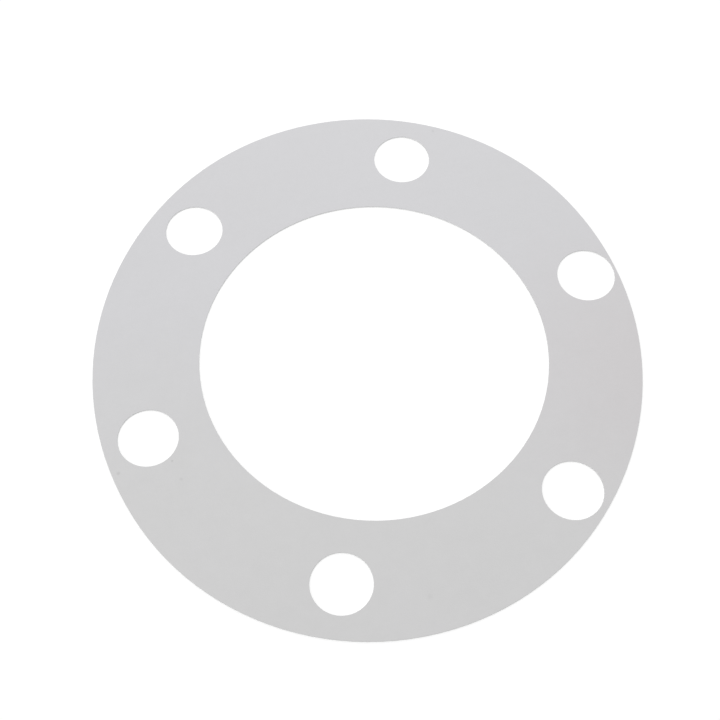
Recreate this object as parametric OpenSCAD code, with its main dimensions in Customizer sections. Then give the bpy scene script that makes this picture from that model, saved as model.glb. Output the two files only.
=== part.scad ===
// Flat flange gasket, die-cut in one piece from thin pale sheet: a round bore, a ring of bolt holes
// and an outer edge that is cut a little oval and a little off the bolt circle's centre.
// Origin at the bore's centre on the underside, +Z up through the sheet. Lengths in millimetres.

/* [Sheet] */
// Thickness of the sheet
sheet_t = 0.5; // [0.3:0.1:5]
// Radius that the cutting die rolls over on the upper edges
edge_roll = 0.1; // [0.05:0.05:0.4]

/* [Bore] */
// Diameter of the bore
bore_d = 106; // [50:1:250]
// Width of the sealing land, from the bore to the bolt holes
sealing_land = 10; // [4:0.5:40]

/* [Bolt holes] */
// Diameter of each bolt hole
bolt_hole_d = 18; // [6:0.5:24]
// Number of bolt holes, evenly spaced on the bolt circle
bolt_count = 6; // [3:1:8]
// Angle of the first bolt hole, from +X towards +Y
first_hole_angle = 22.5; // [0:0.5:90]

/* [Outer edge] */
// Width of the strip of sheet left outside the bolt hole that comes nearest the outer edge
rim_min = 0.8; // [0.5:0.1:12]
// Distance that the outer edge's centre lies off the bore's centre, towards -X
outer_shift = 2; // [0:0.1:8]
// Length by which the outer edge is longer along Y than it is wide along X
outer_stretch = 9; // [0:0.5:20]

/* [Hidden] */
$fn = 180;

bore_r = bore_d / 2;
bolt_hole_r = bolt_hole_d / 2;
bolt_circle_r = bore_r + sealing_land + bolt_hole_r;
bolt_angles = [for (i = [0 : bolt_count - 1]) first_hole_angle + i * 360 / bolt_count];
// The outer edge is a four-centred oval, drawn on a 3-4-5 triangle: the flatter arcs at its sides have
// centres 4 units from its middle, the tighter arcs at its ends 3 units, and the radii differ by 5
oval_unit = outer_stretch / 4;
side_offset = 4 * oval_unit;
end_offset = 3 * oval_unit;
arc_difference = 5 * oval_unit;
// Side arc's radius on the oval that runs through a point, given by its distances from the oval's axes
function side_radius_at(x, y) =
    4 * y < 3 * (x + side_offset)
        ? norm([x + side_offset, y])
        : norm([x, y - end_offset]) + arc_difference;
bolt_reaches = [
    for (a = bolt_angles)
        side_radius_at(abs(bolt_circle_r * cos(a) + outer_shift), abs(bolt_circle_r * sin(a)))
];
bore_reach = side_radius_at(outer_shift, 0);
// The oval goes round every bolt hole and its rim, and round the bore and its sealing land
side_arc_r = max(max(bolt_reaches) + bolt_hole_r + rim_min, bore_reach + bore_r + sealing_land);
end_arc_r = side_arc_r - arc_difference;
// The arcs meet on this line through their centres, drawn out past the outer edge
junction = ceil(side_arc_r / 3) * [4, 3];
// The rolled edge takes up half of the sheet at most
roll = min(edge_roll, sheet_t / 2);
// The round is drawn this share of its radius high, so it meets the upper face at a shallow angle
roll_lift = 0.15;
roll_top = sheet_t + roll_lift * roll;
roll_z = roll_top - roll;
// The shapes that cut the sheet run this far past it
through = 1;

// Half section of a cut disc: a straight wall with its upper edge rolled over
module disc_section(r) {
    intersection() {
        square([r, sheet_t]);
        union() {
            square([r, roll_z]);
            square([r - roll, sheet_t]);
            translate([r - roll, roll_z]) circle(roll);
        }
    }
}

// Half section of a punched opening: a straight wall that flares out over the rolled upper edge
module punch_section(r) {
    translate([0, -through]) square([r, roll_top + through]);
    difference() {
        translate([0, roll_z]) square([r + roll, roll]);
        translate([r + roll, roll_z]) circle(roll);
    }
}

// An opening of radius r, punched through the sheet on the Z axis
module punch(r) {
    rotate_extrude() punch_section(r);
}

// A sector of a cut disc, between two lines from the disc's centre
module sector(r, from, to) {
    intersection() {
        rotate_extrude() disc_section(r);
        translate([0, 0, -through]) linear_extrude(sheet_t + 2 * through) polygon([[0, 0], from, to]);
    }
}

// The oval blank, set off the bore's centre
module blank() {
    translate([-outer_shift, 0, 0])
        for (half_turn = [0, 180])
            rotate(half_turn) {
                translate([-side_offset, 0, 0]) sector(side_arc_r, [junction.x, -junction.y], junction);
                translate([0, end_offset, 0]) sector(end_arc_r, junction, [-junction.x, junction.y]);
            }
}

// Bolt holes, evenly spaced on a circle about the bore
module bolt_holes() {
    for (a = bolt_angles)
        rotate(a)
            translate([bolt_circle_r, 0, 0])
                punch(bolt_hole_r);
}

// The gasket: the blank, with its bore and its bolt holes punched out
module gasket() {
    color([0.82, 0.82, 0.82])
        difference() {
            blank();
            punch(bore_r);
            bolt_holes();
        }
}

gasket();
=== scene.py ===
# A thin flange gasket of pale fluoropolymer sheet, lying on a white table and seen from above.
from math import cos, radians, sin
import bpy
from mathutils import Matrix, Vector


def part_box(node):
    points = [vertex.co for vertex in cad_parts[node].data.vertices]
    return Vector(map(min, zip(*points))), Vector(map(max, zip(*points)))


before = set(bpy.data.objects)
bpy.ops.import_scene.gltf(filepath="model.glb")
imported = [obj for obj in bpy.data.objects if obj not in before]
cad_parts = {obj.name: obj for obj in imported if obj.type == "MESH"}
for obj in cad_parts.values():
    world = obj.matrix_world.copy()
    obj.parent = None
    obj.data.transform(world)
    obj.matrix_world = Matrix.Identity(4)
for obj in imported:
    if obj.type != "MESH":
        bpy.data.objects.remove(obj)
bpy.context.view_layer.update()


# The gasket
# One flat ring of skived fluoropolymer sheet, half a millimetre thick, cut with its bore and its
# bolt holes by a single stroke of a die, which rolls the upper edges over. Nothing is fixed to it.
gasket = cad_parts["gasket"]
sheet_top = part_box("gasket")[1].z
millimetre = 0.001

skived_sheet = bpy.data.materials.new("skived_sheet")
skived_sheet.use_nodes = True
sheet_tree = skived_sheet.node_tree
sheet_tree.nodes.clear()


def add_node(tree, kind, sockets=None, **settings):
    """Adds a shader node. An entry of sockets is a plain value, or an output to link there."""
    made = tree.nodes.new(kind)
    for name, value in settings.items():
        setattr(made, name, value)
    for key, value in (sockets or {}).items():
        if isinstance(value, bpy.types.NodeSocket):
            tree.links.new(value, made.inputs[key])
        else:
            made.inputs[key].default_value = value
    return made


def maths(tree, operation, first, second=0, clamp=False):
    """Works out a sum, a product or another operation on one or two values."""
    made = add_node(tree, "ShaderNodeMath", {0: first, 1: second}, operation=operation, use_clamp=clamp)
    return made.outputs[0]


def remap(tree, value, start, end, low, high, curve="LINEAR"):
    """Takes start to low and end to high, and stays there past both."""
    made = add_node(tree, "ShaderNodeMapRange",
                    {"Value": value, "From Min": start, "From Max": end, "To Min": low, "To Max": high},
                    interpolation_type=curve)
    return made.outputs["Result"]


def noise(tree, place, width, detail, roughness=0.5):
    """Soft random patches of about the width given, as a value and as a colour."""
    made = add_node(tree, "ShaderNodeTexNoise",
                    {"Vector": place, "Scale": 1 / width, "Detail": detail, "Roughness": roughness})
    return made.outputs


def drawn_out_noise(tree, place, turn, lengths, detail):
    """Patches as long along X, Y and Z as the lengths given, and turned about Z."""
    made = add_node(tree, "ShaderNodeMapping",
                    {"Vector": place, "Rotation": (0, 0, turn), "Scale": lengths}, vector_type="TEXTURE")
    return noise(tree, made.outputs["Vector"], 1, detail)["Fac"]


def mix_colours(tree, share, first, second):
    """Goes from the first colour to the second as the share goes from 0 to 1."""
    made = add_node(tree, "ShaderNodeMix", {0: share, 6: first, 7: second}, data_type="RGBA")
    return made.outputs[2]


def spot(tree, place, centre, reach, strength):
    """A spot on the upper face, placed in millimetres, that fades from its centre to its reach."""
    middle = (centre[0] * millimetre, centre[1] * millimetre, sheet_top)
    away = add_node(tree, "ShaderNodeVectorMath", {0: place, 1: middle}, operation="DISTANCE")
    return remap(tree, away.outputs["Value"], 0, reach * millimetre, strength, 0, "SMOOTHSTEP")


# The upper face and the cut walls are told apart by how far the surface faces up, where 1 is level
face_start = 0.8
face_full = 0.95
wall_start = 0.35
wall_full = 0.15
coords = add_node(sheet_tree, "ShaderNodeTexCoord").outputs
on_sheet = coords["Object"]
facing_up = add_node(sheet_tree, "ShaderNodeSeparateXYZ", {0: coords["Normal"]}).outputs["Z"]
upper_face = remap(sheet_tree, facing_up, face_start, face_full, 0, 1)
cut_wall = remap(sheet_tree, maths(sheet_tree, "ABSOLUTE", facing_up), wall_start, wall_full, 0, 1)

# Sintered sheet is faintly cloudy, and a painted cool light from the far side drifts it from a plain grey
# on the near side to a cooler one
near_grey = (0.637, 0.635, 0.637, 1)
cool_lit_grey = (0.637, 0.635, 0.651, 1)
cool_light_start = -60 * millimetre
cool_light_end = 30 * millimetre
cloud_width = 38.5 * millimetre
cloud_pull = 0.2
clouds = noise(sheet_tree, on_sheet, cloud_width, detail=3)["Fac"]
cloud_shift = remap(sheet_tree, clouds, 0.25, 0.75, -cloud_pull, cloud_pull)
depth = add_node(sheet_tree, "ShaderNodeSeparateXYZ", {0: on_sheet}).outputs["Y"]
# Painted cool light: the sheet is tinted bluer towards the far side
painted_cool_light = remap(sheet_tree, depth, cool_light_start, cool_light_end, 0, 1, "SMOOTHSTEP")
cool_light_and_clouds = maths(sheet_tree, "ADD", painted_cool_light, cloud_shift, clamp=True)
tint = mix_colours(sheet_tree, cool_light_and_clouds, near_grey, cool_lit_grey)

# The right side has a broad painted shade, a little darker and pinker, that hardly shows
right_shade_grey = (0.624, 0.608, 0.616, 1)
right_shade_centre = (82, -3)
right_shade_reach = 68
painted_right_shade = spot(sheet_tree, on_sheet, right_shade_centre, right_shade_reach, strength=1)
tint = mix_colours(sheet_tree, painted_right_shade, tint, right_shade_grey)

# The skin has a mottle and a fine grain, and the skiving knife leaves long streaks that hardly show
mottle_width = 6 * millimetre
grain_width = 0.4 * millimetre
knife_turn = radians(14)
streak_length = 125 * millimetre
streak_width = 2.4 * millimetre
streak_lengths = (streak_length, streak_width, streak_length)
mottle = noise(sheet_tree, on_sheet, mottle_width, detail=4, roughness=0.8)["Fac"]
grain = noise(sheet_tree, on_sheet, grain_width, detail=2)["Fac"]
streaks = drawn_out_noise(sheet_tree, on_sheet, knife_turn, streak_lengths, detail=3)
for pattern, contrast in ((clouds, 0.015), (mottle, 0.036), (streaks, 0.005)):
    shade = remap(sheet_tree, pattern, 0, 1, 1 - contrast, 1 + contrast)
    shaded = add_node(sheet_tree, "ShaderNodeVectorMath", {0: tint, "Scale": shade}, operation="SCALE")
    tint = shaded.outputs[0]

# A few flecks of dust are pressed into the upper face: where each lies and its radius, in millimetres,
# and how much of its own grey shows. A fine noise moves their edges about, so they are ragged
fleck_grey = (0.33, 0.33, 0.33, 1)
flecks = [((-74.3, -38.7), 0.9, 0.26),
          ((-56.0, -40.4), 0.8, 0.18),
          ((-59.0, -34.8), 0.6, 0.36),
          ((20.0, 82.7), 0.7, 0.24),
          ((15.2, -75.1), 1.3, 0.11)]
ragged_width = 0.7 * millimetre
ragged_reach = 0.5 * millimetre
ragged_noise = noise(sheet_tree, on_sheet, ragged_width, detail=2)["Color"]
ragged = add_node(sheet_tree, "ShaderNodeVectorMath", {0: ragged_noise, 1: (0.5, 0.5, 0.5)},
                  operation="SUBTRACT")
ragged_place = add_node(sheet_tree, "ShaderNodeVectorMath",
                        {0: ragged.outputs[0], 1: (ragged_reach,) * 3, 2: on_sheet},
                        operation="MULTIPLY_ADD")
for fleck_centre, fleck_radius, darkness in flecks:
    fleck = spot(sheet_tree, ragged_place.outputs[0], fleck_centre, fleck_radius, darkness)
    tint = mix_colours(sheet_tree, maths(sheet_tree, "MULTIPLY", fleck, upper_face), tint, fleck_grey)

# The cut walls are painted whiter, partly from the die whitening what it cuts and partly as painted light
# that lifts the shade they lie in, and the die leaves fine upright drag lines there
cut_and_lit_white = (0.90, 0.90, 0.90, 1)
drag_width = 0.3 * millimetre
drag_height = 3 * millimetre
drag_lines = drawn_out_noise(sheet_tree, on_sheet, 0, (drag_width, drag_width, drag_height), detail=2)
tint = mix_colours(sheet_tree, cut_wall, tint, cut_and_lit_white)

# The streaks, the grain and the drag lines stand out in a shallow relief
relief_depth = 0.05 * millimetre
streak_share = 0.35
grain_share = 0.4
skin = maths(sheet_tree, "ADD", remap(sheet_tree, streaks, 0, 1, 0, streak_share),
             remap(sheet_tree, grain, 0, 1, 0, grain_share))
height = maths(sheet_tree, "ADD", skin, maths(sheet_tree, "MULTIPLY", drag_lines, cut_wall))
relief = add_node(sheet_tree, "ShaderNodeBump", {"Strength": 1, "Distance": relief_depth, "Height": height})

# The skin is matt, and the mottle and the streaks make it a little more or less so
least_matt = 0.46
most_matt = 0.58
streak_matt = 0.04
sheet_ior = 1.35
roughness = maths(sheet_tree, "ADD", remap(sheet_tree, mottle, 0.2, 0.8, least_matt, most_matt),
                  remap(sheet_tree, streaks, 0.2, 0.8, -streak_matt, streak_matt))
surface = add_node(sheet_tree, "ShaderNodeBsdfPrincipled",
                   {"Base Color": tint, "IOR": sheet_ior, "Roughness": roughness,
                    "Normal": relief.outputs["Normal"]})
add_node(sheet_tree, "ShaderNodeOutputMaterial", {"Surface": surface.outputs["BSDF"]})
gasket.data.materials.clear()
gasket.data.materials.append(skived_sheet)


# The table
# A plain white table top under the gasket. It shows as white to the camera, keeps the soft shadow
# that the thin sheet throws on it, and runs out into the white room without an edge.
table_width = 8
bounce_white = (0.8, 0.8, 0.8, 1)
shadow_white = (0.45, 0.45, 0.45, 1)
glow = 0.60
fade_start = 0.12
fade_end = 0.5

bpy.ops.object.select_all(action="DESELECT")
bpy.ops.mesh.primitive_plane_add(size=table_width)
table = bpy.context.object
table.name = "table"
white_top = bpy.data.materials.new("white_top")
white_top.use_nodes = True
top_tree = white_top.node_tree
top_tree.nodes.clear()


def seen_ray(tree):
    """1 for what the camera sees, straight or in a reflection, and 0 for light that bounces."""
    rays = add_node(tree, "ShaderNodeLightPath").outputs
    mirrored = maths(tree, "MAXIMUM", rays["Is Glossy Ray"], rays["Is Transmission Ray"])
    return maths(tree, "MAXIMUM", rays["Is Camera Ray"], mirrored)


def mix_shaders(tree, share, first, second):
    """Goes from the first shader to the second as the share goes from 0 to 1."""
    return add_node(tree, "ShaderNodeMixShader", {0: share, 1: first.outputs[0], 2: second.outputs[0]})


top_bounce = add_node(top_tree, "ShaderNodeBsdfDiffuse", {"Color": bounce_white})
top_shadow = add_node(top_tree, "ShaderNodeBsdfDiffuse", {"Color": shadow_white})
top_glow = add_node(top_tree, "ShaderNodeEmission", {"Strength": glow})
top_near = add_node(top_tree, "ShaderNodeAddShader", {0: top_shadow.outputs[0], 1: top_glow.outputs[0]})
top_far = add_node(top_tree, "ShaderNodeEmission", {"Strength": 1})
on_top = add_node(top_tree, "ShaderNodeTexCoord").outputs["Object"]
from_gasket = add_node(top_tree, "ShaderNodeVectorMath", {0: on_top}, operation="LENGTH").outputs["Value"]
far_share = remap(top_tree, from_gasket, fade_start, fade_end, 0, 1, "SMOOTHSTEP")
top_seen = mix_shaders(top_tree, far_share, top_near, top_far)
top_surface = mix_shaders(top_tree, seen_ray(top_tree), top_bounce, top_seen)
add_node(top_tree, "ShaderNodeOutputMaterial", {"Surface": top_surface.outputs[0]})
table.data.materials.append(white_top)


# The light
# A pale room all round, a broad window on the left and a soft lamp above the far side, so that
# the sheet is a little brighter towards the far left. What is seen of the room is white.
room_white = (1, 1, 1, 1)
room_level = 0.53
room = bpy.data.worlds.new("room")
bpy.context.scene.world = room
room.use_nodes = True
room_tree = room.node_tree
room_tree.nodes.clear()
room_light = add_node(room_tree, "ShaderNodeBackground", {"Color": room_white, "Strength": room_level})
room_seen = add_node(room_tree, "ShaderNodeBackground", {"Color": room_white, "Strength": 1})
room_surface = mix_shaders(room_tree, seen_ray(room_tree), room_light, room_seen)
add_node(room_tree, "ShaderNodeOutputWorld", {"Surface": room_surface.outputs[0]})


def soft_lamp(name, place, width, power):
    """A square lamp that faces the gasket."""
    bpy.ops.object.light_add(type="AREA", location=place)
    lamp = bpy.context.object
    lamp.name = name
    lamp.data.size = width
    lamp.data.energy = power
    lamp.rotation_euler = (-lamp.location).to_track_quat("-Z", "Y").to_euler()


soft_lamp("window", place=(-1.05, -0.45, 1.15), width=0.9, power=7.3)
soft_lamp("far_lamp", place=(0.05, 0.62, 0.80), width=0.6, power=3.65)


# The camera
# A plain lens looking down on the sheet from its near side, at the photograph's angle.
aim = Vector((-4.27 * millimetre, -2.07 * millimetre, sheet_top))
climb = radians(63.93)
reach = 377.5 * millimetre
lens_length = 62.35
nearest_seen = 10 * millimetre

bpy.ops.object.camera_add(location=aim + reach * Vector((0, -cos(climb), sin(climb))))
camera = bpy.context.object
camera.name = "camera"
camera.data.lens = lens_length
camera.data.clip_start = nearest_seen
camera.rotation_euler = (aim - camera.location).to_track_quat("-Z", "Y").to_euler()
bpy.context.scene.camera = camera
bpy.context.scene.view_settings.view_transform = "Standard"
